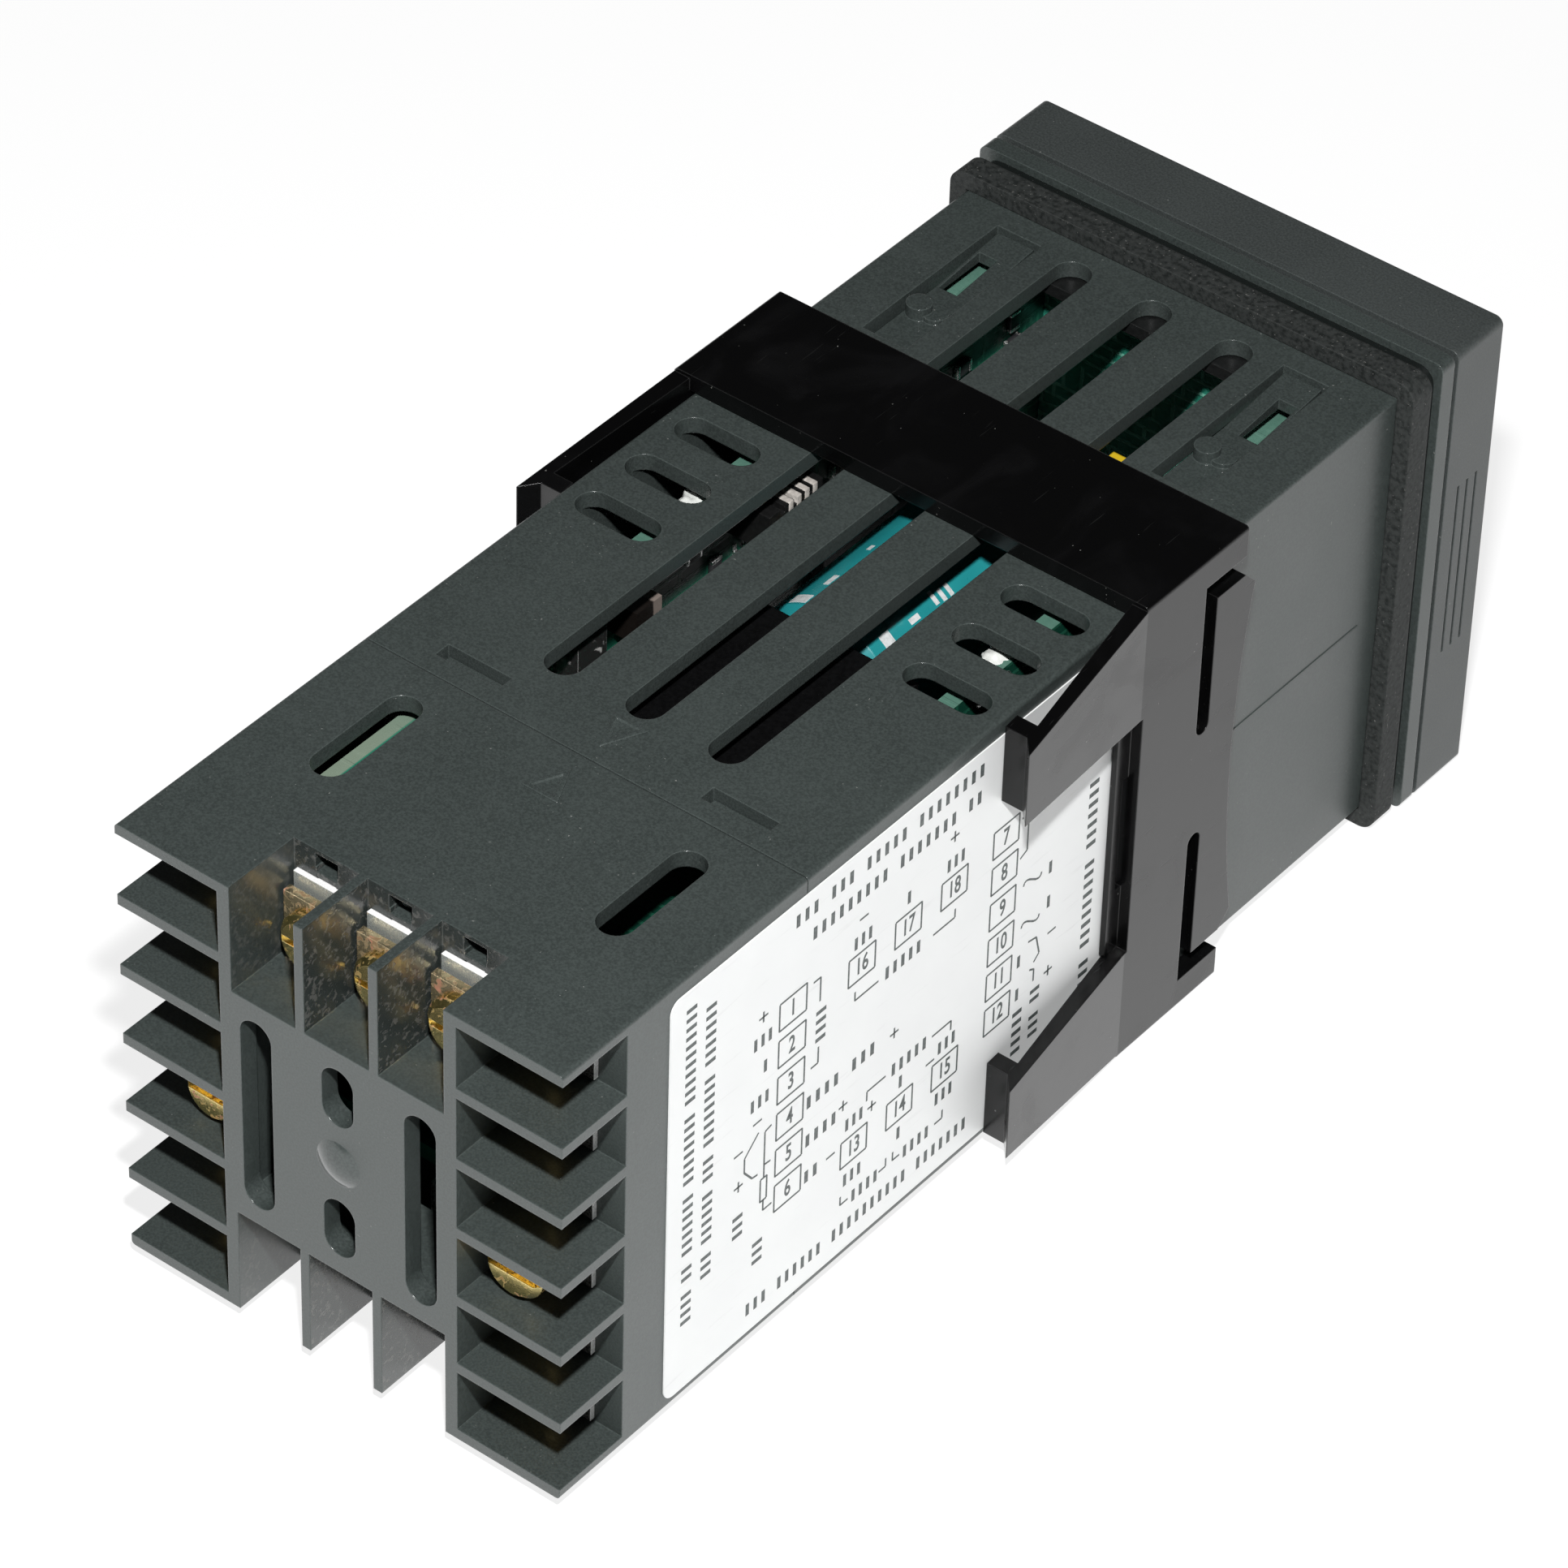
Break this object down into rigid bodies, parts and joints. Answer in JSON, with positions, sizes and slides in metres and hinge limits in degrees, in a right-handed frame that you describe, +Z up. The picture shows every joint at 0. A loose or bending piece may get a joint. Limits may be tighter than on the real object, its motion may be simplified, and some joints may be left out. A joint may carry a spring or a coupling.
{
  "type": "pid temperature controller",
  "caption": "Small square panel-mounted temperature controller in a plug-in case, with rear screw terminals, a front gasket and a sliding panel clamp.",
  "frame": {"origin": "centre of the case at the panel's front face, where the gasket seats", "axes": "+Y towards the rear terminals, +Z up, +X to the right seen from the front"},
  "size_m": [0.052, 0.1207, 0.0484],
  "materials": {
    "case_plastic": "finely grained charcoal moulding",
    "bezel_plastic": "finely grained charcoal moulding",
    "clamp_plastic": "smooth black moulding",
    "frame_plastic": "plain black moulding",
    "gasket_rubber": "dusty black rubber",
    "label_print": "white film with dark print",
    "contact_brass": "tarnished brass",
    "saddle_brass": "bright brass",
    "screw_brass": "bright passivated plating",
    "window_acrylic": "smoked clear panel",
    "display_face": "dark face with segments",
    "lamp_plastic": "red lens",
    "key_plastic": "grey key",
    "plunger_plastic": "pale plunger",
    "switch_body": "black switch body",
    "circuit_board": "green solder resist",
    "relay_case": "black relay case",
    "link_plastic": "black moulding",
    "capacitor_sleeve": "teal sleeve",
    "film_plastic": "yellow box",
    "ferrite": "dark ferrite",
    "winding_tape": "yellow tape",
    "header_plastic": "white moulding",
    "bead_coat": "tan coat",
    "crystal_can": "bright can"
  },
  "bodies": {
    "housing": {"housing_sleeve": "case_plastic", "terminal_block": "case_plastic", "panel_gasket": "gasket_rubber", "terminal_label": "label_print", "terminal_contacts_left": "contact_brass", "terminal_contacts_right": "contact_brass", "terminal_contacts_top": "contact_brass", "terminal_contacts_bottom": "contact_brass", "wire_saddles_left": "saddle_brass", "wire_saddles_right": "saddle_brass", "wire_saddles_top": "saddle_brass", "wire_saddles_bottom": "saddle_brass", "terminal_screws_left": "screw_brass", "terminal_screws_right": "screw_brass", "terminal_screws_top": "screw_brass", "terminal_screws_bottom": "screw_brass"},
    "clamp": {"mounting_clamp": "clamp_plastic"},
    "plug_in_unit": {"front_bezel": "bezel_plastic", "bezel_seal": "gasket_rubber", "display_window": "window_acrylic", "board_carrier": "frame_plastic", "display_board": "circuit_board", "upper_display": "display_face", "lower_display": "display_face", "indicator_lamps": "lamp_plastic", "key_switches": "switch_body", "processor_board": "circuit_board", "power_board": "circuit_board", "upper_option_board": "circuit_board", "lower_option_board": "circuit_board", "upper_relay_right": "relay_case", "upper_relay_left": "relay_case", "lower_relay_right": "relay_case", "lower_relay_left": "relay_case", "board_links": "link_plastic", "reservoir_capacitor": "capacitor_sleeve", "film_capacitor": "film_plastic", "transformer_core": "ferrite", "transformer_winding": "winding_tape", "processor_chip": "link_plastic", "pin_header": "header_plastic", "bead_capacitor": "bead_coat", "crystal": "crystal_can", "couplers": "link_plastic"},
    "key_1_body": {"key_1": "key_plastic", "switch_plunger_1": "plunger_plastic"},
    "key_2_body": {"key_2": "key_plastic", "switch_plunger_2": "plunger_plastic"},
    "key_3_body": {"key_3": "key_plastic", "switch_plunger_3": "plunger_plastic"},
    "key_4_body": {"key_4": "key_plastic", "switch_plunger_4": "plunger_plastic"}
  },
  "joints": [
    {"name": "clamp_slide", "type": "slide", "parent": "housing", "child": "clamp", "axis": [0, 1, 0], "range_m": [-0.0208, 0.084]},
    {"name": "unit_withdraw", "type": "slide", "parent": "housing", "child": "plug_in_unit", "axis": [0, -1, 0], "range_m": [0, 0.102]},
    {"name": "key_1_press", "type": "slide", "parent": "plug_in_unit", "child": "key_1_body", "axis": [0, 1, 0], "range_m": [0, 0.0006], "stiffness_N_per_m": 800, "springref_m": -0.0005},
    {"name": "key_2_press", "type": "slide", "parent": "plug_in_unit", "child": "key_2_body", "axis": [0, 1, 0], "range_m": [0, 0.0006], "stiffness_N_per_m": 800, "springref_m": -0.0005},
    {"name": "key_3_press", "type": "slide", "parent": "plug_in_unit", "child": "key_3_body", "axis": [0, 1, 0], "range_m": [0, 0.0006], "stiffness_N_per_m": 800, "springref_m": -0.0005},
    {"name": "key_4_press", "type": "slide", "parent": "plug_in_unit", "child": "key_4_body", "axis": [0, 1, 0], "range_m": [0, 0.0006], "stiffness_N_per_m": 800, "springref_m": -0.0005}
  ]
}
